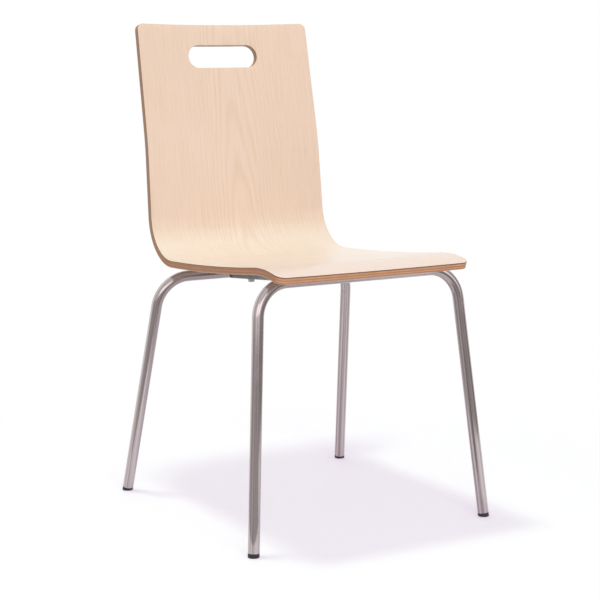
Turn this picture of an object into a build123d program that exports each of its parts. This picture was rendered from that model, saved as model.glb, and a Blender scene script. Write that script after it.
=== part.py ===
from build123d import *
import math
import os

# Stacking chair: one bent plywood shell bolted to a welded frame of two inverted-U tubes and two rails.
# Millimetres and degrees, +Z up. The chair faces -Y, and left and right are as seen from its front.
# Distances along Y are measured from the front edge of the seat until the chair is centred at the end.

# Layers of the shell, with a line of glue between them
face_laminate_thickness = 0.8
core_thickness = 10.2
under_laminate_thickness = 0.8
glue_line = 0.1

# Outline of the shell, and the spare width that is trimmed off each side of its ends
seat_front_width = 370.0
seat_rear_width = 359.0
back_top_width = 348.0
front_corner_radius = 16.0
top_corner_radius = 12.0
slot_length = 142.0
slot_height = 41.5
slot_below_top = 58.5
trim_allowance = 10.0

# Side profile of the shell's upper face, from the front edge to the top of the back
front_edge_height = 445.47
lip_radius = 195.64
lip_slope = 17.3
seat_front_fall = 7.0
seat_dish_radius = 3750.0
seat_rear_fall = 2.4
bend_radius = 78.0
lower_back_lean = 6.0
lower_back_length = 102.0
lumbar_radius = 500.0
upper_back_lean = 11.75
upper_back_length = 195.0

# Hollow across the shell: how far its middle lies below, or behind, its side edges
seat_bow = 1.0
back_bow = 16.0

# Leg tubes: the crossbar of each lies under the seat, and its two legs splay sideways and fore or aft
tube_diameter = 19.0
tube_wall = 1.5
leg_bend_radius = 57.0
front_crossbar_setback = 52.97
crossbar_spacing = 345.6
front_corner_half_width = 191.0
rear_corner_half_width = 193.0
front_side_splay = 4.83
rear_side_splay = 5.06
front_leg_rake = 5.98
rear_leg_rake = 11.13

# Rails between the crossbars, with the tubes' tops just below the rails' tops
rail_width = 20.0
rail_depth = 20.0
rail_wall = 1.5
rail_edge_radius = 2.0
rail_offset = 48.0
tube_drop = 0.5

# Fixings: a bolt goes up through each rail and a pad into a nut that is set in the core
front_bolt_setback = 132.97
bolt_spacing = 202.0
front_pad_height = 2.0
rear_pad_height = 4.5
pad_diameter = 18.0
pad_clearance = 0.05
bolt_diameter = 6.0
bolt_clearance = 0.3
bolt_head_flats = 10.0
bolt_head_height = 4.0
washer_diameter = 13.0
washer_thickness = 1.6
nut_flange_diameter = 19.0
nut_flange_thickness = 1.2
nut_barrel_diameter = 8.0
nut_length = 8.5
nut_cover = 0.4
nut_clearance = 0.1
thread_clearance = 0.05
bolt_tip_gap = 1.0

# Foot plugs: a head the size of the tube, and a ringed stem inside it
plug_head_length = 6.0
plug_stem_length = 18.0
plug_ring_height = 0.6
plug_ring_length = 2.0
plug_ring_count = 3
plug_clearance = 0.1
plug_edge_radius = 0.8

# Values that follow from the ones above
core_top = face_laminate_thickness + glue_line
core_bottom = core_top + core_thickness
under_laminate_top = core_bottom + glue_line
shell_thickness = under_laminate_top + under_laminate_thickness
tube_radius = tube_diameter / 2
bore_radius = tube_radius - tube_wall
bolt_hole_radius = bolt_diameter / 2 + bolt_clearance
rear_crossbar_y = front_crossbar_setback + crossbar_spacing
rear_bolt_y = front_bolt_setback + bolt_spacing
bolts = {"front": (front_bolt_setback, front_pad_height), "rear": (rear_bolt_y, rear_pad_height)}
sides = {"left": -1, "right": 1}

# How closely the shell's cross-sections follow each other: degrees of turn, and steps in a stretch
turn_per_step = 8.0
fewest_steps = 4


def arc(radius, start, end):
    """A round stretch of the profile: its length, and its slopes at both ends."""
    return radius * math.radians(abs(end - start)), start, end


def straight(length, slope):
    """A straight stretch of the profile."""
    return length, slope, slope


profile = [
    arc(lip_radius, lip_slope, -seat_front_fall),
    arc(seat_dish_radius, -seat_front_fall, -seat_rear_fall),
    arc(bend_radius, -seat_rear_fall, 90 - lower_back_lean),
    straight(lower_back_length, 90 - lower_back_lean),
    arc(lumbar_radius, 90 - lower_back_lean, 90 - upper_back_lean),
    straight(upper_back_length, 90 - upper_back_lean),
]
stretch_ends = [sum(length for length, _, _ in profile[: i + 1]) for i in range(len(profile))]
lip_length = stretch_ends[0]
bend_start = stretch_ends[1]
bend_end = stretch_ends[2]
lumbar_end = stretch_ends[4]
profile_length = stretch_ends[5]


def profile_at(distance):
    """Y, Z and slope of the shell's upper face, a distance along its side edge from the front."""
    y = 0.0
    z = front_edge_height
    for length, start, end in profile:
        step = min(distance, length)
        first = math.radians(start)
        turn = math.radians(end - start) * step / length
        if turn:
            y += step / turn * (math.sin(first + turn) - math.sin(first))
            z -= step / turn * (math.cos(first + turn) - math.cos(first))
        else:
            y += step * math.cos(first)
            z += step * math.sin(first)
        distance -= step
        if distance <= 0:
            break
    return y, z, first + turn


def share(distance, start, end):
    """How far a distance lies between two others, from 0 to 1."""
    return min(1.0, max(0.0, (distance - start) / (end - start)))


def half_width_at(distance):
    """Half of the shell's width, which narrows from the lip to the bend, and on to the top of the back."""
    width = seat_front_width
    width += (seat_rear_width - seat_front_width) * share(distance, lip_length, bend_end)
    width += (back_top_width - seat_rear_width) * share(distance, bend_end, profile_length)
    return width / 2


def bow_at(distance):
    """Depth of the hollow across the shell, which grows smoothly from the seat to the back."""
    t = share(distance, bend_start, lumbar_end)
    return seat_bow + (back_bow - seat_bow) * t * t * (3 - 2 * t)


def cross_section(distance, near, far, spare):
    """One layer cut square to the profile, between two depths, with spare width at both sides."""
    y, z, slope = profile_at(distance)
    w = half_width_at(distance)
    bow = bow_at(distance)
    hollow_radius = (w * w + bow * bow) / (2 * bow)
    edge = w + spare
    edge_bow = bow - hollow_radius + math.sqrt(hollow_radius**2 - edge**2)
    upper = ThreePointArc((-edge, near + edge_bow), (0, near + bow), (edge, near + edge_bow))
    lower = ThreePointArc((edge, far + edge_bow), (0, far + bow), (-edge, far + edge_bow))
    outline = make_face([upper, Line(upper @ 1, lower @ 0), lower, Line(lower @ 1, upper @ 0)])
    plane = Plane(origin=(0, y, z), x_dir=(1, 0, 0), z_dir=(0, math.cos(slope), math.sin(slope)))
    return plane * outline


def shell_stretch(index, near, far, spare):
    """One stretch of one layer, drawn through evenly spaced cross-sections."""
    length, start, end = profile[index]
    begin = stretch_ends[index] - length
    steps = max(math.ceil(abs(end - start) / turn_per_step), fewest_steps)
    stations = [begin + length * i / steps for i in range(steps + 1)]
    return loft([cross_section(distance, near, far, spare) for distance in stations])


def end_plane(distance, side):
    """Plane on an end of the shell: X across, Y inward along the sheet, Z through it."""
    y, z, slope = profile_at(distance)
    normal = (0, -side * math.sin(slope), side * math.cos(slope))
    return Plane(origin=(0, y, z), x_dir=(1, 0, 0), z_dir=normal)


front_plane = end_plane(0, 1)
top_plane = end_plane(profile_length, -1)
cut_depth = back_bow + 3 * shell_thickness


def end_trim(plane, half_width, flare, length, radius):
    """Prism that an end of the shell is trimmed to: two rounded corners, and sides that may flare."""
    inner = half_width + flare
    corners = [(-half_width, 0), (half_width, 0), (inner, length), (-inner, length)]
    outline = make_face(Polyline(*corners, close=True))
    outer_corners = outline.vertices().filter_by(lambda corner: corner.Y < length / 2)
    return extrude(plane * fillet(outer_corners, radius), amount=cut_depth, both=True)


def slot_cutter():
    """The hand slot, cut square through the top of the back."""
    slot = Pos(0, slot_below_top) * SlotOverall(slot_length, slot_height)
    return extrude(top_plane * slot, amount=cut_depth, both=True)


# Each prism reaches well past the stretch that it trims
front_trim = end_trim(front_plane, half_width_at(0), 0, 2 * lip_length, front_corner_radius)
top_flare = half_width_at(lumbar_end) - half_width_at(profile_length)
top_trim = end_trim(
    top_plane, half_width_at(profile_length), 2 * top_flare, 2 * upper_back_length, top_corner_radius
)


def shell_layer(near, far):
    """One layer of the shell between two depths, with its ends trimmed and its slot cut."""
    last = len(profile) - 1
    layer = shell_stretch(0, near, far, trim_allowance) & front_trim
    for index in range(1, last):
        layer += shell_stretch(index, near, far, 0)
    top = shell_stretch(last, near, far, trim_allowance) & top_trim
    return layer + (top - slot_cutter())


def underside_height(x, y):
    """Height of the shell's underside over one point of the frame."""
    low = 0.0
    high = bend_end
    for _ in range(50):
        middle = (low + high) / 2
        edge_y, edge_z, slope = profile_at(middle)
        depth = shell_thickness + bow_at(middle) * (1 - (x / half_width_at(middle)) ** 2)
        if edge_y + depth * math.sin(slope) < y:
            low = middle
        else:
            high = middle
    return edge_z - depth * math.cos(slope)


# The rails' tops lie on one sloping line, a pad's height below the shell at each bolt
front_seat_z = underside_height(rail_offset, front_bolt_setback) - front_pad_height
rear_seat_z = underside_height(rail_offset, rear_bolt_y) - rear_pad_height
rail_slope = math.atan2(front_seat_z - rear_seat_z, bolt_spacing)
rail_forward = (0, -math.cos(rail_slope), math.sin(rail_slope))
rail_up = (0, math.sin(rail_slope), math.cos(rail_slope))


def under_rail_top(y, drop):
    """Height at a place along the rails of a line that lies a drop below their tops."""
    return front_seat_z - (y - front_bolt_setback) * math.tan(rail_slope) - drop / math.cos(rail_slope)


front_crossbar_z = under_rail_top(front_crossbar_setback, tube_radius + tube_drop)
rear_crossbar_z = under_rail_top(rear_crossbar_y, tube_radius + tube_drop)


crossbars = {
    "front": (front_corner_half_width, front_crossbar_setback, front_crossbar_z),
    "rear": (rear_corner_half_width, rear_crossbar_y, rear_crossbar_z),
}
leg_angles = {"front": (front_side_splay, -front_leg_rake), "rear": (rear_side_splay, rear_leg_rake)}


def leg_axis(end, side):
    """Where one leg's axis meets the floor, and where it meets the crossbar's axis."""
    half_width, y, z = crossbars[end]
    splay, rake = leg_angles[end]
    foot_x = half_width + z * math.tan(math.radians(splay))
    foot_y = y + z * math.tan(math.radians(rake))
    return Vector(side * foot_x, foot_y, 0), Vector(side * half_width, y, z)


def leg_tube(end):
    """One inverted-U tube: leg, bend, crossbar, bend and leg, open at its two lower ends."""
    feet = []
    corners = []
    for side in sides.values():
        foot, corner = leg_axis(end, side)
        feet.append(foot + (corner - foot).normalized() * plug_head_length)
        corners.append(corner)
    path = FilletPolyline(feet[0], corners[0], corners[1], feet[1], radius=leg_bend_radius)
    ring = Circle(tube_radius) - Circle(bore_radius)
    return sweep(Plane(origin=path @ 0, z_dir=path % 0) * ring, path=path)


def tube_piece(outer_radius, inner_radius, bottom, top):
    """A plain disc or ring about the Z axis between two heights."""
    outline = Circle(outer_radius)
    if inner_radius:
        outline -= Circle(inner_radius)
    return Pos(0, 0, bottom) * extrude(outline, amount=top - bottom)


def foot_plug(foot, corner):
    """Plastic plug in the end of a leg: a head cut flat to the floor and a stem with rings."""
    along = Plane(origin=foot, z_dir=corner - foot)
    reach = tube_diameter
    head = along * extrude(Circle(tube_radius), amount=plug_head_length + reach).moved(Pos(0, 0, -reach))
    floor = Pos(foot.X, foot.Y, -2 * reach) * Box(6 * reach, 6 * reach, 4 * reach)
    head -= floor
    head = fillet(head.edges().group_by(Axis.Z)[0], plug_edge_radius)
    ring_radius = bore_radius - plug_clearance
    stem_top = plug_head_length + plug_stem_length
    stem = tube_piece(ring_radius - plug_ring_height, 0, plug_head_length, stem_top)
    ring_pitch = plug_stem_length / plug_ring_count
    for i in range(plug_ring_count):
        ring_start = plug_head_length + ring_pitch * (i + 0.5)
        stem += tube_piece(ring_radius, 0, ring_start, ring_start + plug_ring_length)
    return head + along * stem


def crossbar_cutter(y, z):
    """Solid bar the size of a tube, along one crossbar."""
    bar = Plane(origin=(0, y, z), z_dir=(1, 0, 0)) * Circle(tube_radius)
    return extrude(bar, amount=seat_front_width, both=True)


def bolt_plane(side, y):
    """Plane on a rail's top at one bolt, its Z up along the bolt."""
    return Plane(origin=(side * rail_offset, y, under_rail_top(y, 0)), x_dir=(1, 0, 0), z_dir=rail_up)


def seat_rail(side):
    """Square tube between the crossbars, its ends hollowed to sit against them and drilled for two bolts."""
    rear_z = under_rail_top(rear_crossbar_y, rail_depth / 2)
    start = Plane(origin=(side * rail_offset, rear_crossbar_y, rear_z), x_dir=(1, 0, 0), z_dir=rail_forward)
    outer = RectangleRounded(rail_width, rail_depth, rail_edge_radius)
    bore = RectangleRounded(
        rail_width - 2 * rail_wall, rail_depth - 2 * rail_wall, rail_edge_radius - rail_wall / 2
    )
    end_setback = tube_radius / 2
    length = crossbar_spacing / math.cos(rail_slope) - 2 * end_setback
    rail = start * Pos(0, 0, end_setback) * extrude(outer - bore, amount=length)
    for _, y, z in crossbars.values():
        rail -= crossbar_cutter(y, z)
    for y, _ in bolts.values():
        rail -= extrude(bolt_plane(side, y) * Circle(bolt_hole_radius), amount=2 * rail_depth, both=True)
    return rail


def nut_top(pad_height):
    """Height of a nut's flange above the rail's top: just under the face laminate."""
    return pad_height + shell_thickness - core_top - nut_cover


def seat_bolt(pad_height):
    """Hexagon-head bolt, head down, whose tip ends inside the nut."""
    head_top = -rail_depth - washer_thickness
    tip = nut_top(pad_height) - bolt_tip_gap
    hexagon = RegularPolygon(bolt_head_flats / 2, 6, major_radius=False)
    head = Pos(0, 0, head_top - bolt_head_height) * extrude(hexagon, amount=bolt_head_height)
    shank = Pos(0, 0, head_top) * extrude(Circle(bolt_diameter / 2), amount=tip - head_top)
    return head + shank


def seat_washer():
    """Plain washer between a bolt's head and the underside of a rail."""
    return tube_piece(washer_diameter / 2, bolt_hole_radius, -rail_depth - washer_thickness, -rail_depth)


def nut_insert(pad_height):
    """Flanged nut set into the core from above, before the face laminate covers it."""
    top = nut_top(pad_height)
    bore = bolt_diameter / 2 + thread_clearance
    flange = tube_piece(nut_flange_diameter / 2, bore, top - nut_flange_thickness, top)
    return flange + tube_piece(nut_barrel_diameter / 2, bore, top - nut_length, top)


def nut_recess(pad_height):
    """What is cut from the core for a nut: a drilled hole, and a wider seat for the flange."""
    top = nut_top(pad_height)
    hole = extrude(Circle(nut_barrel_diameter / 2 + nut_clearance), amount=top)
    seat = extrude(Circle(nut_flange_diameter / 2 + nut_clearance), amount=shell_thickness)
    return hole + Pos(0, 0, top - nut_flange_thickness) * seat


def seat_pad(pad_height):
    """Packing pad on a rail, reaching into the shell until its top is cut to the shell's underside."""
    return tube_piece(pad_diameter / 2, bolt_hole_radius, 0, pad_height + shell_thickness / 2)


def build_chair():
    """All the nodes of the chair, by name."""
    face_laminate = shell_layer(0, face_laminate_thickness)
    plywood_core = shell_layer(core_top, core_bottom)
    under_laminate = shell_layer(under_laminate_top, shell_thickness)
    pad_ceiling = shell_layer(0, shell_thickness + pad_clearance)
    nodes = {}
    for side_name, side in sides.items():
        nodes[f"{side_name}_seat_rail"] = seat_rail(side)
        for end, (y, pad_height) in bolts.items():
            nodes[f"{end}_{side_name}_foot_plug"] = foot_plug(*leg_axis(end, side))
            place = bolt_plane(side, y)
            nodes[f"{end}_{side_name}_seat_bolt"] = place * seat_bolt(pad_height)
            nodes[f"{end}_{side_name}_seat_washer"] = place * seat_washer()
            nodes[f"{end}_{side_name}_seat_pad"] = place * seat_pad(pad_height) - pad_ceiling
            nodes[f"{end}_{side_name}_nut_insert"] = place * nut_insert(pad_height)
            plywood_core -= place * nut_recess(pad_height)
            under_laminate -= extrude(place * Circle(bolt_hole_radius), amount=nut_top(pad_height))
    for end in crossbars:
        nodes[f"{end}_leg_tube"] = leg_tube(end)
    nodes["face_laminate"] = face_laminate
    nodes["plywood_core"] = plywood_core
    nodes["under_laminate"] = under_laminate
    return nodes


nodes = build_chair()
boxes = [node.bounding_box() for node in nodes.values()]
front_y = min(box.min.Y for box in boxes)
rear_y = max(box.max.Y for box in boxes)
to_centre = Pos(0, -(front_y + rear_y) / 2, 0)
os.makedirs("parts", exist_ok=True)
for name, node in nodes.items():
    export_step(to_centre * node, f"parts/{name}.step")
print(f"{len(nodes)} nodes, {rear_y - front_y:.2f} mm deep, {max(box.max.Z for box in boxes):.2f} mm tall")
for end, (_, _, crossbar_z) in crossbars.items():
    foot = leg_axis(end, 1)[0] + to_centre.position
    print(f"{end} feet at X {foot.X:.3f} and Y {foot.Y:.3f}, crossbar height {crossbar_z:.2f}")
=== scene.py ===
import math

import bmesh
import bpy
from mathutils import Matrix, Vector


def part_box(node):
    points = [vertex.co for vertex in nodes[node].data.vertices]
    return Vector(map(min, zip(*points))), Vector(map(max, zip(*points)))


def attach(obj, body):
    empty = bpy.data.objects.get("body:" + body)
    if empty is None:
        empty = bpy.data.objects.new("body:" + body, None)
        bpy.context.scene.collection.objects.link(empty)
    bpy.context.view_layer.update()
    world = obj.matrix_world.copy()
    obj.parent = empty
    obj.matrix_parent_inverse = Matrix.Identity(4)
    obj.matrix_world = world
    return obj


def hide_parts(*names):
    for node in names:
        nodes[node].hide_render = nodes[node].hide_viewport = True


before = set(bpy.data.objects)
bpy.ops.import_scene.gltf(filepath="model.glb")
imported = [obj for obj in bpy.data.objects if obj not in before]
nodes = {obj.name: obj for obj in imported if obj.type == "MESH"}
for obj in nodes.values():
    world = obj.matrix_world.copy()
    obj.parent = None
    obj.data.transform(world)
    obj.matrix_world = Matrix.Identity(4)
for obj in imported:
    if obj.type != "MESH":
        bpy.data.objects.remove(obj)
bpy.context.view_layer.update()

# Stacking chair: a bent plywood shell on a frame of two bent steel tubes and two rails.
# Metres, +Z up. The chair faces -Y, and left and right are as seen from its front.
mm = 0.001

# The shell's layers, and its outline before it is pressed
face_laminate_thickness = 0.8 * mm
core_thickness = 10.2 * mm
under_laminate_thickness = 0.8 * mm
glue_line = 0.1 * mm
seat_front_width = 370 * mm
seat_rear_width = 359 * mm
back_top_width = 348 * mm
front_corner_radius = 16 * mm
top_corner_radius = 12 * mm
eased_edge = 0.4 * mm
slot_length = 142 * mm
slot_height = 41.5 * mm
slot_below_top = 58.5 * mm
# A hair under half the slot's height, so that the two roundings of an end don't meet
slot_end_radius = 0.9995 * slot_height / 2

core_top = face_laminate_thickness + glue_line
core_bottom = core_top + core_thickness
under_laminate_top = core_bottom + glue_line
shell_thickness = under_laminate_top + under_laminate_thickness

# Side profile of the shell's upper face, from the front edge to the top of the back
front_edge_y = -273.44 * mm
front_edge_height = 445.47 * mm
lip_radius = 195.64 * mm
lip_slope = math.radians(17.3)
seat_radius = 3750 * mm
seat_front_slope = math.radians(-7.0)
seat_rear_slope = math.radians(-2.4)
bend_radius = 78 * mm
lower_back_length = 102 * mm
lower_back_slope = math.radians(84.0)
lumbar_radius = 500 * mm
upper_back_length = 195 * mm
upper_back_slope = math.radians(78.25)

# Hollow across the shell: how far its middle lies below, or behind, its side edges
seat_bow = 1 * mm
back_bow = 16 * mm

# The leg tubes
tube_radius = 9.5 * mm
tube_wall = 1.5 * mm
deburred_edge = 0.3 * mm
leg_bend_radius = 57 * mm
plug_head_length = 6 * mm
crossbar_half_width = {"front": 191 * mm, "rear": 193 * mm}
crossbar_y = {"front": -220.47 * mm, "rear": 125.13 * mm}
crossbar_z = {end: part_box(f"{end}_leg_tube")[1].z - tube_radius for end in crossbar_y}
side_splay = {"front": math.radians(4.83), "rear": math.radians(5.06)}
leg_rake = {"front": math.radians(-5.98), "rear": math.radians(11.13)}

# The rails, and the weld beads beside their ends
rail_offset = 48 * mm
rail_width = 20 * mm
rail_slope = math.radians(5.3555)
weld_radius = 1.3 * mm
weld_reach = math.radians(58)
weld_ripple = 1.2 * mm
weld_swell = 1.16
weld_end_share = 0.02
weld_end_taper = 0.6

# The seat bolts
bolt_head_flats = 10 * mm
bolt_head_height = 4 * mm
bolt_chamfer = 0.9 * mm
bolt_radius = 3 * mm
bolt_shank = {"front": 33.3 * mm, "rear": 35.8 * mm}
washer_thickness = 1.6 * mm

# How finely the pieces are cut: sides of a round, segments of an edge, and the turn and run between cuts
corner_segments = 14
slot_segments = 18
eased_segments = 3
shell_turn_per_cut = math.radians(3)
shell_run_per_cut = 20 * mm
shell_cuts_each_side = 9
shell_cut_spacing = 19 * mm
tube_sides = 64
deburred_segments = 2
tube_turn_per_cut = math.radians(4)
tube_run_per_cut = 60 * mm
weld_sides = 16
cuts_per_ripple = 3
bolt_head_sides = 72
bolt_sides = 32

# Points nearer than this are one, and edges that turn more than this are sharp
tolerance = 1e-6
sharp_angle = math.radians(60)


def arc(radius, start, end):
    """A round stretch of a bent line: its length, and its slopes at both ends."""
    return radius * abs(end - start), start, end


def straight(length, slope):
    """A straight stretch of a bent line."""
    return length, slope, slope


def walk(stretches, distance):
    """Where a bent line has come to after a distance: along, up, and its slope there."""
    along = 0.0
    up = 0.0
    for length, start, end in stretches:
        step = min(distance, length)
        turn = (end - start) * step / length
        if turn:
            along += step / turn * (math.sin(start + turn) - math.sin(start))
            up -= step / turn * (math.cos(start + turn) - math.cos(start))
        else:
            along += step * math.cos(start)
            up += step * math.sin(start)
        distance -= step
        if distance <= 0:
            break
    return along, up, start + turn


def stretch_ends(stretches):
    """The distances at which the stretches of a bent line end."""
    ends = []
    for length, _, _ in stretches:
        ends.append(length + (ends[-1] if ends else 0.0))
    return ends


def cut_places(stretches, turn, run):
    """Distances to cut at, so that no cut is further on than a turn or a run."""
    places = []
    begin = 0.0
    for length, start, end in stretches:
        steps = max(math.ceil(abs(end - start) / turn), math.ceil(length / run))
        places += [begin + length * i / steps for i in range(1, steps + 1)]
        begin += length
    return places[:-1]


shell_profile = [
    arc(lip_radius, lip_slope, seat_front_slope),
    arc(seat_radius, seat_front_slope, seat_rear_slope),
    arc(bend_radius, seat_rear_slope, lower_back_slope),
    straight(lower_back_length, lower_back_slope),
    arc(lumbar_radius, lower_back_slope, upper_back_slope),
    straight(upper_back_length, upper_back_slope),
]
shell_ends = stretch_ends(shell_profile)
lip_end = shell_ends[0]
bend_start = shell_ends[1]
bend_end = shell_ends[2]
lumbar_end = shell_ends[4]
shell_length = shell_ends[5]


def share(distance, start, end):
    """How far a distance lies between two others, from 0 to 1."""
    return min(1.0, max(0.0, (distance - start) / (end - start)))


def half_width_at(distance):
    """Half of the shell's width, which narrows from the lip to the bend, and on to the top of the back."""
    width = seat_front_width
    width += (seat_rear_width - seat_front_width) * share(distance, lip_end, bend_end)
    width += (back_top_width - seat_rear_width) * share(distance, bend_end, shell_length)
    return width / 2


def bow_at(distance):
    """Depth of the hollow across the shell."""
    t = share(distance, bend_start, lumbar_end)
    return seat_bow + (back_bow - seat_bow) * t * t * (3 - 2 * t)


def pressed(flat):
    """Where a point of the flat sheet lies after pressing. The sheet lies below the XY plane."""
    y, z, slope = walk(shell_profile, flat.y)
    w = half_width_at(flat.y)
    bow = bow_at(flat.y)
    hollow_radius = (w * w + bow * bow) / (2 * bow)
    sink = bow - hollow_radius + math.sqrt(hollow_radius**2 - flat.x**2) - flat.z
    return Vector((
        flat.x,
        front_edge_y + y + sink * math.sin(slope),
        front_edge_height + z - sink * math.cos(slope),
    ))


# Modelling helpers


def deselect():
    """Object mode, with nothing selected."""
    if bpy.context.object and bpy.context.object.mode != "OBJECT":
        bpy.ops.object.mode_set(mode="OBJECT")
    bpy.ops.object.select_all(action="DESELECT")


def take(piece):
    """Makes one piece the selected and active one."""
    deselect()
    piece.select_set(True)
    bpy.context.view_layer.objects.active = piece


def start(name):
    """Names the primitive just added, and puts its place and size into its mesh."""
    bpy.ops.object.transform_apply(location=True, rotation=True, scale=True)
    piece = bpy.context.object
    piece.name = name
    piece.data.name = name
    return piece


def edit():
    """Into edit mode."""
    bpy.ops.object.mode_set(mode="EDIT")


def done():
    """Back to object mode."""
    bpy.ops.object.mode_set(mode="OBJECT")


def choose(kind, test):
    """In edit mode, selects the vertices, edges or faces that pass a test."""
    bpy.ops.mesh.select_mode(type=kind)
    bpy.ops.mesh.select_all(action="DESELECT")
    mesh = bpy.context.object.data
    work = bmesh.from_edit_mesh(mesh)
    for item in {"VERT": work.verts, "EDGE": work.edges, "FACE": work.faces}[kind]:
        item.select_set(bool(test(item)))
    work.select_flush_mode()
    bmesh.update_edit_mesh(mesh)


def cut(point, normal):
    """In edit mode, cuts the whole piece along a plane."""
    bpy.ops.mesh.select_mode(type="FACE")
    bpy.ops.mesh.select_all(action="SELECT")
    bpy.ops.mesh.bisect(plane_co=point, plane_no=normal)


def apply_modifier(piece, kind, **settings):
    """Adds a modifier to a piece and applies it."""
    take(piece)
    modifier = piece.modifiers.new(kind.lower(), kind)
    for name, value in settings.items():
        setattr(modifier, name, value)
    bpy.ops.object.modifier_apply(modifier=modifier.name)


def carve(piece, cutter):
    """Cuts one piece out of another and deletes the cutter."""
    apply_modifier(piece, "BOOLEAN", object=cutter, operation="DIFFERENCE", solver="EXACT")
    bpy.data.objects.remove(cutter, do_unlink=True)
    take(piece)


def smooth(piece, angle=30):
    """Smooth shading, with the edges kept that turn more than an angle."""
    take(piece)
    bpy.ops.object.shade_smooth_by_angle(angle=math.radians(angle))


def remember(piece, name):
    """Keeps the points of a piece, as they are before it is bent, for its material to read."""
    mesh = piece.data
    kept = mesh.attributes.new(name, "FLOAT_VECTOR", "POINT")
    for vertex in mesh.vertices:
        kept.data[vertex.index].vector = vertex.co


def bend(piece, place):
    """Moves every point of a flat or straight piece to where bending puts it."""
    for vertex in piece.data.vertices:
        vertex.co = place(vertex.co)
    piece.data.update()


def upright(edge):
    """Whether an edge runs through the thickness of a flat sheet."""
    a, b = (vertex.co for vertex in edge.verts)
    return math.hypot(a.x - b.x, a.y - b.y) < tolerance


def edge_y(edge):
    """How far along the sheet the middle of an edge lies."""
    return (edge.verts[0].co.y + edge.verts[1].co.y) / 2


# The shell


def slot_block():
    """The shape of the hand slot, as a block through the flat sheet."""
    deselect()
    bpy.ops.mesh.primitive_cube_add(
        size=1,
        location=(0, shell_length - slot_below_top, -shell_thickness / 2),
        scale=(slot_length, slot_height, 4 * shell_thickness),
    )
    block = start("slot_block")
    edit()
    choose("EDGE", upright)
    bpy.ops.mesh.bevel(offset=slot_end_radius, segments=slot_segments, affect="EDGES")
    done()
    return block


def rim(edge, height):
    """Whether an edge lies on the rim of a flat sheet's face at a height."""
    if any(abs(vertex.co.z - height) > tolerance for vertex in edge.verts):
        return False
    return len(edge.link_faces) == 2 and edge.calc_face_angle() > sharp_angle


def shell_layer(name, near, far, eased_face):
    """One layer of the shell: cut out flat, then pressed to shape."""
    deselect()
    bpy.ops.mesh.primitive_cube_add(
        size=1,
        location=(0, shell_length / 2, -(near + far) / 2),
        scale=(seat_front_width, shell_length, far - near),
    )
    layer = start(name)
    edit()
    cut((0, lip_end, 0), (0, 1, 0))
    cut((0, bend_end, 0), (0, 1, 0))
    choose("VERT", lambda vertex: vertex.co.y > bend_end - mm)
    bpy.ops.transform.resize(value=(seat_rear_width / seat_front_width, 1, 1))
    choose("VERT", lambda vertex: vertex.co.y > shell_length - mm)
    bpy.ops.transform.resize(value=(back_top_width / seat_rear_width, 1, 1))
    choose("EDGE", lambda edge: upright(edge) and edge_y(edge) < mm)
    bpy.ops.mesh.bevel(offset=front_corner_radius, segments=corner_segments, affect="EDGES")
    choose("EDGE", lambda edge: upright(edge) and edge_y(edge) > shell_length - mm)
    bpy.ops.mesh.bevel(offset=top_corner_radius, segments=corner_segments, affect="EDGES")
    done()
    carve(layer, slot_block())
    edit()
    bpy.ops.mesh.select_all(action="SELECT")
    bpy.ops.mesh.remove_doubles(threshold=tolerance)
    if eased_face is not None:
        choose("EDGE", lambda edge: rim(edge, eased_face))
        bpy.ops.mesh.bevel(offset=eased_edge, segments=eased_segments, affect="EDGES")
    for distance in cut_places(shell_profile, shell_turn_per_cut, shell_run_per_cut):
        cut((0, distance, 0), (0, 1, 0))
    for i in range(-shell_cuts_each_side, shell_cuts_each_side + 1):
        cut((i * shell_cut_spacing, 0, 0), (1, 0, 0))
    done()
    remember(layer, "flat")
    bend(layer, pressed)
    return layer


# The leg tubes


def leg_path(end):
    """The line of a leg tube in its own plane: leg, bend, crossbar, bend and leg."""
    height = crossbar_z[end] / math.cos(leg_rake[end])
    spread = crossbar_z[end] * math.tan(side_splay[end])
    slope = math.atan2(height, spread)
    tangent = leg_bend_radius * math.tan(slope / 2)
    leg = math.hypot(height, spread) - tangent - plug_head_length
    return [
        straight(leg, slope),
        arc(leg_bend_radius, slope, 0.0),
        straight(2 * (crossbar_half_width[end] - tangent), 0.0),
        arc(leg_bend_radius, 0.0, -slope),
        straight(leg, -slope),
    ]


def tube_bender(end):
    """A function that puts the points of a straight tube along a leg tube's line."""
    path = leg_path(end)
    rake = leg_rake[end]
    slope = path[0][1]
    foot_x = crossbar_half_width[end] + crossbar_z[end] * math.tan(side_splay[end])
    foot_y = crossbar_y[end] + crossbar_z[end] * math.tan(rake)
    across = Vector((1, 0, 0))
    rise = Vector((0, -math.sin(rake), math.cos(rake)))
    square = across.cross(rise)
    first = Vector((-foot_x, foot_y, 0))
    first += plug_head_length * (math.cos(slope) * across + math.sin(slope) * rise)

    def place(point):
        """Where a point of the straight tube comes to lie."""
        along, up, turned = walk(path, point.z)
        side = math.cos(turned) * rise - math.sin(turned) * across
        return first + along * across + up * rise + point.x * square + point.y * side

    return place


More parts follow.
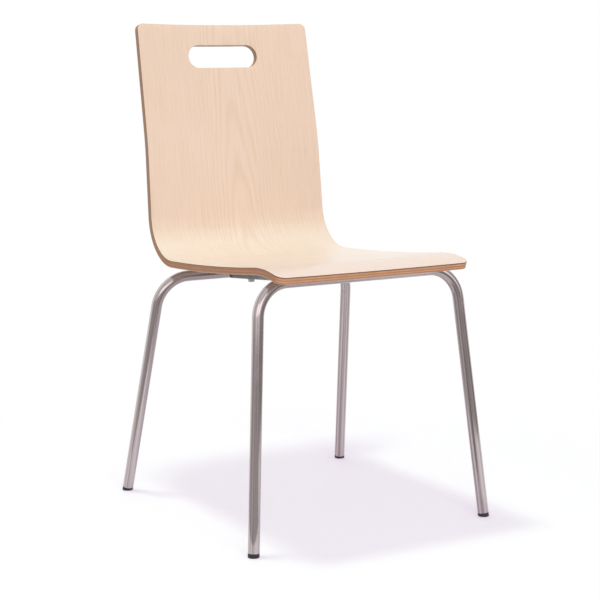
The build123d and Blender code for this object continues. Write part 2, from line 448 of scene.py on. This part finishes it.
def leg_tube(end):
    """One leg tube: a straight tube, cut into rings where it bends, then bent."""
    path = leg_path(end)
    length = stretch_ends(path)[-1]
    deselect()
    bpy.ops.mesh.primitive_cylinder_add(
        vertices=tube_sides,
        radius=tube_radius,
        depth=length,
        end_fill_type="NOTHING",
        location=(0, 0, length / 2),
    )
    tube = start(f"{end}_leg_tube_steel")
    edit()
    for distance in cut_places(path, tube_turn_per_cut, tube_run_per_cut):
        cut((0, 0, distance), (0, 0, 1))
    done()
    apply_modifier(tube, "SOLIDIFY", thickness=tube_wall, offset=-1.0, use_rim=True)
    edit()
    choose("EDGE", lambda edge: edge.calc_face_angle(0) > sharp_angle)
    bpy.ops.mesh.bevel(offset=deburred_edge, segments=deburred_segments, affect="EDGES")
    done()
    remember(tube, "straight")
    bend(tube, tube_bender(end))
    smooth(tube)
    return tube


# The fixings and welds of the rails


def rail_axes(end):
    """Along a rail from one crossbar towards the other, and up, square to the rail."""
    up = Vector((0, math.sin(rail_slope), math.cos(rail_slope)))
    along = Vector((0, math.cos(rail_slope), -math.sin(rail_slope)))
    return (along if end == "front" else -along), up


def weld_bead(end, x):
    """One bead on a crossbar, beside a rail: a rippled rod, bent round the tube."""
    length = 2 * weld_reach * tube_radius
    deselect()
    bpy.ops.mesh.primitive_cylinder_add(
        vertices=weld_sides,
        radius=weld_radius,
        depth=length,
        end_fill_type="TRIFAN",
        location=(0, 0, length / 2),
    )
    bead = start("weld_bead")
    edit()
    cuts = cuts_per_ripple * round(length / weld_ripple)
    for i in range(1, cuts):
        cut((0, 0, length * i / cuts), (0, 0, 1))
    choose("VERT", lambda vertex: round(vertex.co.z / length * cuts) % cuts_per_ripple == 1)
    bpy.ops.transform.resize(value=(weld_swell, weld_swell, 1))
    choose("VERT", lambda vertex: not weld_end_share < vertex.co.z / length < 1 - weld_end_share)
    bpy.ops.transform.resize(value=(weld_end_taper, weld_end_taper, 1))
    done()
    along, up = rail_axes(end)
    middle = Vector((x, crossbar_y[end], crossbar_z[end]))

    def place(point):
        """Where a point of the straight bead comes to lie."""
        turn = point.z / tube_radius - weld_reach
        out = math.cos(turn) * along + math.sin(turn) * up
        return middle + (tube_radius + point.x) * out + Vector((point.y, 0, 0))

    bend(bead, place)
    return bead


def rail_welds(end, side):
    """The two beads at one end of one rail, as one piece."""
    beads = [weld_bead(end, side * rail_offset + edge * rail_width / 2) for edge in (-1, 1)]
    take(beads[0])
    beads[1].select_set(True)
    bpy.ops.object.join()
    edit()
    bpy.ops.mesh.select_all(action="SELECT")
    bpy.ops.mesh.normals_make_consistent(inside=False)
    done()
    smooth(beads[0], angle=50)
    return beads[0]


def seat_bolt(end, side_name):
    """Hexagon-head bolt, made upright with its head down, then set along a bolt's line."""
    corner_radius = bolt_head_flats / math.cos(math.radians(30)) / 2
    head_place = (0, 0, -bolt_head_height / 2)
    deselect()
    bpy.ops.mesh.primitive_cylinder_add(
        vertices=6, radius=corner_radius, depth=bolt_head_height, location=head_place
    )
    bolt = start(f"{end}_{side_name}_hexagon_bolt")
    bpy.ops.mesh.primitive_cylinder_add(
        vertices=bolt_head_sides, radius=corner_radius, depth=bolt_head_height, location=head_place
    )
    round_head = start("round_head")
    edit()
    choose("EDGE", lambda edge: all(vertex.co.z < -bolt_head_height + tolerance for vertex in edge.verts))
    bpy.ops.mesh.bevel(offset=bolt_chamfer, segments=1, affect="EDGES")
    done()
    apply_modifier(bolt, "BOOLEAN", object=round_head, operation="INTERSECT", solver="EXACT")
    bpy.data.objects.remove(round_head, do_unlink=True)
    length = bolt_shank[end]
    deselect()
    bpy.ops.mesh.primitive_cylinder_add(
        vertices=bolt_sides, radius=bolt_radius, depth=length, location=(0, 0, length / 2)
    )
    shank = start("shank")
    take(bolt)
    shank.select_set(True)
    bpy.ops.object.join()
    low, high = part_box(f"{end}_{side_name}_seat_washer")
    _, up = rail_axes(end)
    under_washer = (low + high) / 2 - washer_thickness / 2 * up
    across = Vector((1, 0, 0))
    square = up.cross(across)
    bend(bolt, lambda point: under_washer + point.x * across + point.y * square + point.z * up)
    smooth(bolt)
    return bolt


# Node helpers


def put(tree, kind, inputs=None, **settings):
    """Adds a shader node with its settings, and sets or links its inputs."""
    node = tree.nodes.new("ShaderNode" + kind)
    for name, value in settings.items():
        setattr(node, name, value)
    for key, value in (inputs or {}).items():
        if isinstance(value, bpy.types.NodeSocket):
            tree.links.new(value, node.inputs[key])
        else:
            node.inputs[key].default_value = value
    return node


def use(tree, group, inputs):
    """Places a node group in a material."""
    return put(tree, "Group", inputs, node_tree=group).outputs


def calc(tree, operation, a, b=0.0, clamp=False):
    """A maths node's result."""
    return put(tree, "Math", {0: a, 1: b}, operation=operation, use_clamp=clamp).outputs[0]


def scaled(tree, value, gain, base):
    """A value times a gain, plus a base."""
    return put(tree, "Math", {0: value, 1: gain, 2: base}, operation="MULTIPLY_ADD").outputs[0]


def between(tree, value, low, high, to_low=0.0, to_high=1.0):
    """A value's place between two others, smoothed and limited."""
    inputs = {"Value": value, "From Min": low, "From Max": high, "To Min": to_low, "To Max": to_high}
    return put(tree, "MapRange", inputs, interpolation_type="SMOOTHSTEP").outputs["Result"]


def blend(tree, factor, a, b):
    """A mix of two colours."""
    return put(tree, "Mix", {0: factor, 6: a, 7: b}, data_type="RGBA").outputs[2]


def stretched(tree, vector, scale):
    """A vector with each direction scaled on its own."""
    return put(tree, "VectorMath", {0: vector, 1: scale}, operation="MULTIPLY").outputs[0]


def noise(tree, vector, scale, detail=2.0, roughness=0.5):
    """Noise on a vector that is stretched first."""
    inputs = {
        "Vector": stretched(tree, vector, scale),
        "Scale": 1.0,
        "Detail": detail,
        "Roughness": roughness,
    }
    return put(tree, "TexNoise", inputs).outputs[0]


def stray(tree, vector, scale, reach):
    """Noise that strays to both sides of zero."""
    return calc(tree, "MULTIPLY", calc(tree, "SUBTRACT", noise(tree, vector, scale), 0.5), reach)


def bump(tree, height, strength, distance):
    """A normal that is disturbed by a height."""
    inputs = {"Height": height, "Strength": strength, "Distance": distance}
    return put(tree, "Bump", inputs).outputs[0]


def attribute(tree, name):
    """The points that a piece remembers from before it was bent."""
    return put(tree, "Attribute", attribute_name=name, attribute_type="GEOMETRY").outputs["Vector"]


def place_of(tree):
    """The place of a point on its piece."""
    return put(tree, "TexCoord").outputs["Object"]


def colour(red, green, blue):
    """A colour as it looks on a screen, from 0 to 255, as the shader needs it."""
    parts = []
    for part in (red, green, blue):
        part /= 255
        parts.append(part / 12.92 if part <= 0.04045 else ((part + 0.055) / 1.055) ** 2.4)
    return (*parts, 1.0)


def new_group(name, inputs, outputs):
    """An empty node group with named sockets, and its two end nodes."""
    group = bpy.data.node_groups.new(name, "ShaderNodeTree")
    for socket, kind in inputs.items():
        group.interface.new_socket(name=socket, in_out="INPUT", socket_type=f"NodeSocket{kind}")
    for socket, kind in outputs.items():
        group.interface.new_socket(name=socket, in_out="OUTPUT", socket_type=f"NodeSocket{kind}")
    first = group.nodes.new("NodeGroupInput")
    last = group.nodes.new("NodeGroupOutput")
    return group, first.outputs, last.inputs


def new_material(name):
    """A material with nodes, and its main shader."""
    material = bpy.data.materials.new(name)
    material.use_nodes = True
    tree = material.node_tree
    return material, tree, tree.nodes["Principled BSDF"]


# Wood: how often each pattern changes in a metre across, along and through the sheet, and how far it strays
sway_scale = (7.0, 2.2, 0.0)
sway_reach = 50 * mm
waver_scale = (60.0, 9.0, 0.0)
waver_reach = 12 * mm
fibre_scale = (620.0, 9.0, 0.0)
pore_scale = (1100.0, 45.0, 0.0)
drift_scale = (16.0, 1.1, 0.0)
paper_scale = (90.0, 90.0, 2500.0)
long_grain_scale = (45.0, 45.0, 2600.0)
end_grain_scale = (1300.0, 1300.0, 2200.0)
veneer_stray_scale = (14.0, 14.0, 0.0)
veneer_stray_reach = 0.25 * mm
ring_arch = 150.0
ring_sharpness = 2.2

# Where the core's veneers meet, as shares of its thickness
veneer_joints = (0.17, 0.39, 0.6, 0.82)
joint_blur = 0.012

# Pale and warm tones of the printed woodgrain along the sheet, and the tone of its lines. The seat's tones
# are painted paler than the back's: painted light and sheen on the seat.
print_at_front_painted_light = (colour(239, 220, 206), colour(239, 219, 207))
print_before_bend_painted_light = (colour(244, 230, 211), colour(244, 229, 212))
print_on_back = (colour(238, 212, 191), colour(236, 210, 194))
print_lines = colour(222, 191, 158)

# Tones of the cut veneers, of the glue that soaks the first one, and of the marks on them. The sides' tones
# are darker than the front's: painted shade on the side edges.
front_long_grain = (colour(224, 168, 130), colour(200, 144, 106))
front_end_grain = (colour(196, 140, 104), colour(164, 112, 80))
side_long_grain_painted_shade = (colour(202, 146, 108), colour(182, 126, 88))
side_end_grain_painted_shade = (colour(186, 128, 92), colour(156, 104, 70))
greyed_edge = colour(155, 136, 112)
soaked_veneer = colour(112, 74, 50)
edge_stain = colour(140, 98, 72)

# Tones of the polished tube, whose dark tone is partly painted reflection streaks, and of scratches in metal
# and plastic
steel_tones_with_painted_streaks = (colour(207, 197, 198), colour(148, 134, 134))
bright_scratch = colour(205, 204, 203)
pale_scratch = colour(92, 90, 88)


# Effects that several finishes share


def wood_figure_group():
    """Figure of a flat-sawn board on the flat sheet: growth rings, fibres, pores and a slow drift of tone."""
    group, given, result = new_group(
        "wood_figure",
        {"Flat": "Vector", "Centre": "Float", "Arch": "Float", "Rings per Metre": "Float"},
        {"Rings": "Float", "Fibres": "Float", "Pores": "Float", "Drift": "Float"},
    )
    flat = given["Flat"]
    parts = put(group, "SeparateXYZ", {0: flat}).outputs
    sway = stray(group, flat, sway_scale, sway_reach)
    waver = stray(group, flat, waver_scale, waver_reach)
    x = calc(group, "ADD", calc(group, "ADD", parts[0], sway), waver)
    x = calc(group, "SUBTRACT", x, given["Centre"])
    height = calc(group, "MULTIPLY", calc(group, "MULTIPLY", x, x), given["Arch"])
    height = calc(group, "ADD", height, parts[1])
    phase = calc(group, "MULTIPLY", height, given["Rings per Metre"])
    wave = calc(group, "SINE", calc(group, "MULTIPLY", phase, 2 * math.pi))
    wave = scaled(group, wave, gain=0.5, base=0.5)
    group.links.new(calc(group, "POWER", wave, ring_sharpness), result["Rings"])
    group.links.new(noise(group, flat, fibre_scale, detail=3.0, roughness=0.6), result["Fibres"])
    dashes = noise(group, flat, pore_scale, detail=1.0)
    group.links.new(between(group, dashes, 0.56, 0.7), result["Pores"])
    group.links.new(noise(group, flat, drift_scale), result["Drift"])
    return group


def handling_marks_group():
    """Uneven gloss from wiping and handling, and fine scratches that lie at all angles."""
    group, given, result = new_group(
        "handling_marks",
        {"Place": "Vector", "Size": "Float"},
        {"Smudge": "Float", "Scratch": "Float"},
    )
    inputs = {0: given["Place"], "Scale": given["Size"]}
    sized = put(group, "VectorMath", inputs, operation="SCALE").outputs[0]
    cloud = put(group, "TexNoise", {"Vector": sized, "Scale": 1.0, "Detail": 4.0}).outputs[0]
    group.links.new(between(group, cloud, 0.3, 0.7), result["Smudge"])
    inputs = {"Vector": sized, "Scale": 9.0, "Detail": 2.0, "Distortion": 2.5}
    lines = put(group, "TexNoise", inputs).outputs[0]
    hair = calc(group, "ABSOLUTE", calc(group, "SUBTRACT", lines, 0.5))
    group.links.new(between(group, hair, 0.0, 0.012, to_low=1.0, to_high=0.0), result["Scratch"])
    return group


wood_figure = wood_figure_group()
handling_marks = handling_marks_group()


# Finishes


def laminate_finish(name, face_depth, resin_and_reflection_pale, resin_and_reflection_dark, rings_per_metre, centre, strength):
    """Pale woodgrain laminate: a printed face, and the brown of its resin-soaked papers at the edge, which
    for the underside is painted pale as a reflection of the lit floor.
    """
    material, tree, shader = new_material(name)
    flat = attribute(tree, "flat")
    parts = put(tree, "SeparateXYZ", {0: flat}).outputs
    figure = use(tree, wood_figure, {
        "Flat": flat, "Centre": centre, "Arch": ring_arch, "Rings per Metre": rings_per_metre,
    })
    marks = use(tree, handling_marks, {"Place": flat, "Size": 14.0})
    fibres = between(tree, figure["Fibres"], 0.3, 0.72)
    rings = calc(tree, "MULTIPLY", figure["Rings"], scaled(tree, figure["Fibres"], gain=0.9, base=0.5))
    tone = calc(tree, "MULTIPLY", figure["Pores"], 0.22)
    tone = scaled(tree, rings, gain=0.3 * strength, base=tone)
    tone = scaled(tree, fibres, gain=0.4, base=tone)
    # Painted sheen: the figure is fainter on the seat than on the back.
    tone = calc(tree, "MULTIPLY", tone, between(tree, parts[1], bend_start, bend_end, to_low=0.45))
    # Painted light and sheen: the seat's print tones are paler than the back's, blended by place along the
    # sheet.
    off_front = between(tree, parts[1], 0.0, 0.8 * bend_start)
    on_back = between(tree, parts[1], (bend_start + bend_end) / 2, bend_end)
    pale, warm = (
        blend(tree, on_back, blend(tree, off_front, at_front, before_bend), back)
        for at_front, before_bend, back in zip(print_at_front_painted_light, print_before_bend_painted_light, print_on_back)
    )
    printed = blend(tree, tone, blend(tree, figure["Drift"], pale, warm), print_lines)
    inset = calc(tree, "ABSOLUTE", calc(tree, "ADD", parts[2], face_depth))
    inner = between(tree, inset, 0.08 * mm, 0.2 * mm)
    # For the underside these edge tones are a painted reflection of the lit floor below.
    resin = blend(tree, noise(tree, flat, paper_scale), resin_and_reflection_dark, resin_and_reflection_pale)
    tree.links.new(blend(tree, inner, printed, resin), shader.inputs["Base Color"])
    rough = scaled(tree, marks["Smudge"], gain=0.05, base=0.26)
    rough = scaled(tree, figure["Fibres"], gain=0.12, base=rough)
    tree.links.new(rough, shader.inputs["Roughness"])
    shader.inputs["Coat Weight"].default_value = 0.2
    shader.inputs["Coat Roughness"].default_value = 0.14
    relief = calc(tree, "SUBTRACT", figure["Fibres"], calc(tree, "MULTIPLY", figure["Pores"], 0.6))
    tree.links.new(bump(tree, relief, strength=0.04, distance=0.05 * mm), shader.inputs["Normal"])
    return material


def veneer_stripes(tree, level):
    """1 and 0 in turn for the core's veneers, from the top: 0 for the first, third and fifth."""
    ramp = put(tree, "ValToRGB", {0: level})
    stops = ramp.color_ramp.elements
    for stop, end in zip(stops, (0.0, 1.0)):
        stop.position = end
        stop.color = (0, 0, 0, 1)
    for i, joint in enumerate(veneer_joints):
        for place, light in ((joint - joint_blur, i % 2), (joint + joint_blur, (i + 1) % 2)):
            stops.new(place).color = (light, light, light, 1)
    return ramp.outputs[0]


def plywood_finish():
    """Cut edge of the core. Its five veneers lie in turn across and along, so that the front shows end grain
    where the sides show long grain, and the other way round."""
    material, tree, shader = new_material("plywood_edge")
    flat = attribute(tree, "flat")
    parts = put(tree, "SeparateXYZ", {0: flat}).outputs
    depth = calc(tree, "ABSOLUTE", parts[2])
    depth = calc(tree, "ADD", depth, stray(tree, flat, veneer_stray_scale, veneer_stray_reach))
    inputs = {"Value": depth, "From Min": core_top, "From Max": core_bottom}
    level = put(tree, "MapRange", inputs).outputs["Result"]
    veneers = veneer_stripes(tree, level)
    long_grain = between(tree, noise(tree, flat, long_grain_scale, detail=3.0, roughness=0.6), 0.3, 0.7)
    end_grain = between(tree, noise(tree, flat, end_grain_scale), 0.3, 0.7)
    front_long = blend(tree, long_grain, *front_long_grain)
    front_end = blend(tree, end_grain, *front_end_grain)
    side_long = blend(tree, long_grain, *side_long_grain_painted_shade)
    side_end = blend(tree, end_grain, *side_end_grain_painted_shade)
    front_stripes = blend(tree, veneers, front_end, front_long)
    side_stripes = blend(tree, veneers, side_long, side_end)
    greyed = between(tree, parts[1], bend_start, bend_end, to_high=0.5)
    side_stripes = blend(tree, greyed, side_stripes, greyed_edge)
    # Painted shade: the side edges take darker tones than the front.
    at_side = between(tree, parts[1], 0.4 * front_corner_radius, front_corner_radius)
    stripes = blend(tree, at_side, front_stripes, side_stripes)
    soaked = between(tree, level, 0.02, 0.17, to_low=0.55, to_high=0.0)
    stripes = blend(tree, soaked, stripes, soaked_veneer)
    marks = use(tree, handling_marks, {"Place": flat, "Size": 40.0})
    stained = blend(tree, calc(tree, "MULTIPLY", marks["Smudge"], 0.12), stripes, edge_stain)
    tree.links.new(stained, shader.inputs["Base Color"])
    tree.links.new(scaled(tree, end_grain, gain=0.2, base=0.42), shader.inputs["Roughness"])
    tree.links.new(bump(tree, end_grain, strength=0.25, distance=0.08 * mm), shader.inputs["Normal"])
    return material


def tube_finish():
    """Polished steel tube, with the fine lines of drawing and polishing along it, and broad bands along it
    that are partly polishing and partly painted reflection streaks.
    """
    material, tree, shader = new_material("polished_tube")
    run = attribute(tree, "straight")
    marks = use(tree, handling_marks, {"Place": run, "Size": 30.0})
    lines = noise(tree, run, (1700.0, 1700.0, 4.0), detail=2.0, roughness=0.6)
    # Broad dark bands along the tube: partly polishing, partly painted reflection streaks.
    polish_bands_and_painted_streaks = between(tree, noise(tree, run, (240.0, 240.0, 1.2), detail=1.0), 0.36, 0.64)
    tone = scaled(tree, polish_bands_and_painted_streaks, gain=0.7, base=calc(tree, "MULTIPLY", lines, 0.3))
    tree.links.new(blend(tree, tone, *steel_tones_with_painted_streaks), shader.inputs["Base Color"])
    shader.inputs["Metallic"].default_value = 1.0
    rough = scaled(tree, marks["Scratch"], gain=0.05, base=0.09)
    rough = scaled(tree, marks["Smudge"], gain=0.07, base=rough)
    rough = scaled(tree, lines, gain=0.08, base=rough)
    tree.links.new(rough, shader.inputs["Roughness"])
    tree.links.new(bump(tree, lines, strength=0.05, distance=0.03 * mm), shader.inputs["Normal"])
    return material


def metal_finish(name, pale, dark, metallic, roughness, mark_size):
    """Plain metal with a cloudy tone, uneven gloss and fine scratches."""
    material, tree, shader = new_material(name)
    place = place_of(tree)
    marks = use(tree, handling_marks, {"Place": place, "Size": mark_size})
    grain = noise(tree, place, (900.0, 900.0, 900.0))
    tone = scaled(tree, marks["Smudge"], gain=0.6, base=calc(tree, "MULTIPLY", grain, 0.4))
    surface = blend(tree, tone, pale, dark)
    scratched = blend(tree, calc(tree, "MULTIPLY", marks["Scratch"], 0.25), surface, bright_scratch)
    tree.links.new(scratched, shader.inputs["Base Color"])
    shader.inputs["Metallic"].default_value = metallic
    tree.links.new(scaled(tree, marks["Smudge"], gain=0.15, base=roughness), shader.inputs["Roughness"])
    tree.links.new(bump(tree, grain, strength=0.12, distance=0.05 * mm), shader.inputs["Normal"])
    return material


def moulded_finish(name, pale, dark, roughness, grain_size):
    """Moulded plastic or rubber: fine matt texture, slightly uneven colour and scuffs."""
    material, tree, shader = new_material(name)
    place = place_of(tree)
    marks = use(tree, handling_marks, {"Place": place, "Size": 60.0})
    grain = noise(tree, place, (grain_size, grain_size, grain_size), detail=3.0, roughness=0.6)
    body = blend(tree, scaled(tree, marks["Smudge"], gain=0.5, base=0.5), dark, pale)
    scuffed = blend(tree, calc(tree, "MULTIPLY", marks["Scratch"], 0.3), body, pale_scratch)
    tree.links.new(scuffed, shader.inputs["Base Color"])
    tree.links.new(scaled(tree, grain, gain=0.2, base=roughness), shader.inputs["Roughness"])
    tree.links.new(bump(tree, grain, strength=0.3, distance=0.06 * mm), shader.inputs["Normal"])
    return material


face_finish = laminate_finish(
    "woodgrain_face",
    face_depth=0.0,
    resin_and_reflection_pale=colour(92, 62, 44),
    resin_and_reflection_dark=colour(68, 46, 32),
    rings_per_metre=9.0,
    centre=12 * mm,
    strength=1.0,
)
# Its edge colours are painted pale: a painted reflection of the lit floor on the bottom edge.
under_finish = laminate_finish(
    "woodgrain_underside",
    face_depth=shell_thickness,
    resin_and_reflection_pale=colour(224, 184, 158),
    resin_and_reflection_dark=colour(200, 160, 136),
    rings_per_metre=7.0,
    centre=-50 * mm,
    strength=0.6,
)
edge_finish = plywood_finish()
steel_finish = tube_finish()
rail_finish = metal_finish(
    "rail_steel", colour(150, 148, 149), colour(112, 110, 113), metallic=0.75, roughness=0.42, mark_size=26.0
)
weld_finish = metal_finish(
    "weld_steel", colour(118, 113, 112), colour(70, 66, 66), metallic=0.8, roughness=0.36, mark_size=90.0
)
zinc_finish = metal_finish(
    "zinc_plate", colour(206, 205, 198), colour(160, 160, 160), metallic=1.0, roughness=0.26, mark_size=60.0
)
plug_finish = moulded_finish(
    "black_plastic", colour(38, 37, 38), colour(22, 22, 23), roughness=0.42, grain_size=1500.0
)
pad_finish = moulded_finish(
    "pad_rubber", colour(66, 64, 62), colour(44, 43, 42), roughness=0.6, grain_size=900.0
)


def dress(piece, material):
    """Gives a piece one material in place of what it had."""
    piece.data.materials.clear()
    piece.data.materials.append(material)


def fit(piece, material, slot, *replaced):
    """A finished piece: its material, its body, and the nodes that it stands for; its slot is not used."""
    dress(piece, material)
    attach(piece, "root")
    if replaced:
        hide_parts(*replaced)


# Build


face = shell_layer("face_laminate_sheet", 0.0, face_laminate_thickness, 0.0)
smooth(face)
fit(face, face_finish, "woodgrain_laminate", "face_laminate")

core = shell_layer("plywood_core_sheet", core_top, core_bottom, None)
smooth(core)
fit(core, edge_finish, "plywood", "plywood_core")

underside = shell_layer("under_laminate_sheet", under_laminate_top, shell_thickness, -shell_thickness)
smooth(underside)
fit(underside, under_finish, "woodgrain_laminate", "under_laminate")

for end in ("front", "rear"):
    fit(leg_tube(end), steel_finish, "leg_tube", f"{end}_leg_tube")

for end in ("front", "rear"):
    for side_name, side in (("left", -1), ("right", 1)):
        welds = rail_welds(end, side)
        welds.name = f"{end}_{side_name}_rail_welds"
        fit(welds, weld_finish, "seat_rail")
        fit(seat_bolt(end, side_name), zinc_finish, "fastener", f"{end}_{side_name}_seat_bolt")

for name, node in nodes.items():
    if name.endswith("_seat_rail"):
        dress(node, rail_finish)
    elif name.endswith(("_seat_bolt", "_seat_washer", "_nut_insert")):
        dress(node, zinc_finish)
    elif name.endswith("_foot_plug"):
        dress(node, plug_finish)
    elif name.endswith("_seat_pad"):
        dress(node, pad_finish)


# Stage: a pale floor, a white background, soft lights and the camera


white = (1.0, 1.0, 1.0, 1.0)
black = (0.0, 0.0, 0.0, 1.0)
ambient_level = 0.56
card_tint = (1.0, 0.96, 0.96, 1.0)
card_sides = 360
floor_size = 30.0
floor_drop = 0.5 * mm
floor_tint = (0.8, 0.79, 0.8, 1.0)
shadow_tint = (0.553, 0.737, 0.547, 1.0)
shadow_lift = (0.483, 0.32, 0.513, 1.0)
shadow_fade_start = 0.5
shadow_fade_end = 0.9
camera_place = Vector((-1.48858, -2.52419, 0.82656))
camera_tilt = math.radians(80.936)
camera_turn = math.radians(-30.812)


def seen(tree):
    """1 for rays from the camera, from gloss and through clear pieces, which see a white studio."""
    path = put(tree, "LightPath").outputs
    total = calc(tree, "ADD", path["Is Camera Ray"], path["Is Glossy Ray"])
    return calc(tree, "ADD", total, path["Is Transmission Ray"], clamp=True)


def white_studio():
    """World: white where it is seen, and an even soft light for the rest."""
    world = bpy.data.worlds.new("white_studio")
    bpy.context.scene.world = world
    world.use_nodes = True
    tree = world.node_tree
    background = tree.nodes["Background"]
    background.inputs["Color"].default_value = white
    level = scaled(tree, seen(tree), gain=1.0 - ambient_level, base=ambient_level)
    tree.links.new(level, background.inputs["Strength"])


def floor_finish():
    """Pale floor that keeps the shadow but is lifted to white where nothing shades it."""
    material, tree, shader = new_material("pale_floor")
    shader.inputs["Base Color"].default_value = floor_tint
    shader.inputs["Roughness"].default_value = 0.9
    shader.inputs["Specular IOR Level"].default_value = 0.1
    matt = put(tree, "BsdfDiffuse", {"Color": shadow_tint})
    lift = put(tree, "Emission", {"Color": shadow_lift, "Strength": 1.0})
    near = put(tree, "AddShader", {0: matt.outputs[0], 1: lift.outputs[0]})
    far = put(tree, "Emission", {"Color": white, "Strength": 1.0})
    away = put(tree, "VectorMath", {0: place_of(tree)}, operation="LENGTH").outputs["Value"]
    fade = between(tree, away, shadow_fade_start, shadow_fade_end)
    shown = put(tree, "MixShader", {0: fade, 1: near.outputs[0], 2: far.outputs[0]})
    mixed = put(tree, "MixShader", {0: seen(tree), 1: shader.outputs[0], 2: shown.outputs[0]})
    tree.links.new(mixed.outputs[0], tree.nodes["Material Output"].inputs["Surface"])
    return material


def studio_card(name, turns, heights, radii, level):
    """Curved card around the chair, between two turns from the camera, that shows in gloss alone."""
    facing = math.degrees(math.atan2(camera_place.y, camera_place.x))
    deselect()
    bpy.ops.mesh.primitive_cone_add(
        vertices=card_sides,
        radius1=radii[0],
        radius2=radii[1],
        depth=heights[1] - heights[0],
        end_fill_type="NOTHING",
        location=(0, 0, (heights[0] + heights[1]) / 2),
    )
    card = start(name)

    def outside(face):
        """Whether a face lies outside the card's two turns."""
        middle = face.calc_center_median()
        turn = (math.degrees(math.atan2(middle.y, middle.x)) - facing + 180) % 360 - 180
        return not turns[0] < turn < turns[1]

    edit()
    choose("FACE", outside)
    bpy.ops.mesh.delete(type="FACE")
    done()
    material, _, shader = new_material(name)
    shader.inputs["Base Color"].default_value = black
    shader.inputs["Emission Color"].default_value = card_tint
    shader.inputs["Emission Strength"].default_value = level
    dress(card, material)
    card.visible_camera = False
    card.visible_diffuse = False
    card.visible_shadow = False
    card.visible_transmission = False


def soft_light(name, location, target, size, power):
    """A square soft light that points at a target."""
    lamp = bpy.data.lights.new(name, "AREA")
    lamp.shape = "SQUARE"
    lamp.size = size
    lamp.energy = power
    light = bpy.data.objects.new(name, lamp)
    bpy.context.scene.collection.objects.link(light)
    light.location = location
    light.rotation_euler = (Vector(target) - Vector(location)).to_track_quat("-Z", "Y").to_euler()
    return light


white_studio()

deselect()
bpy.ops.mesh.primitive_plane_add(size=floor_size, location=(0, 0, -floor_drop))
floor = start("floor")
dress(floor, floor_finish())

# Low dark cards stand round the legs, and bright and grey ones stand higher and further away
low_card = {"heights": (0.001, 0.42), "radii": (0.42, 1.2)}
studio_card("left_dark_card", turns=(-80, -2), level=0.5, **low_card)
studio_card("front_dark_card", turns=(-2, 34), level=0.36, **low_card)
studio_card("right_dark_card", turns=(34, 96), heights=(0.12, 0.42), radii=(0.64, 1.2), level=0.36)
studio_card("right_bright_card", turns=(63, 84), heights=(0.5, 1.5), radii=(2.4, 2.4), level=2.4)
studio_card("right_grey_card", turns=(84, 140), heights=(0.45, 1.5), radii=(2.4, 2.4), level=0.5)
studio_card("front_bright_card", turns=(-30, 30), heights=(0.72, 1.8), radii=(2.6, 2.6), level=2.2)

# The overhead light casts the main shadow, and the other two don't show in gloss
soft_light("overhead_light", location=(-0.283, 0.159, 2.6), target=(0, 0, 0.4), size=0.3, power=17)
front_light = soft_light("front_light", location=(-0.9, -3.2, 1.3), target=(0, 0, 0.5), size=2.0, power=39)
rear_light = soft_light("rear_light", location=(0.9, 2.6, 1.6), target=(0, 0.2, 0.6), size=2.5, power=15)
for light in (front_light, rear_light):
    light.visible_glossy = False

camera_data = bpy.data.cameras.new("camera")
camera_data.lens = 101.29
camera_data.sensor_width = 36
camera = bpy.data.objects.new("camera", camera_data)
bpy.context.scene.collection.objects.link(camera)
camera.location = camera_place
camera.rotation_euler = (camera_tilt, 0, camera_turn)
bpy.context.scene.camera = camera
bpy.context.scene.view_settings.view_transform = "Standard"

deselect()
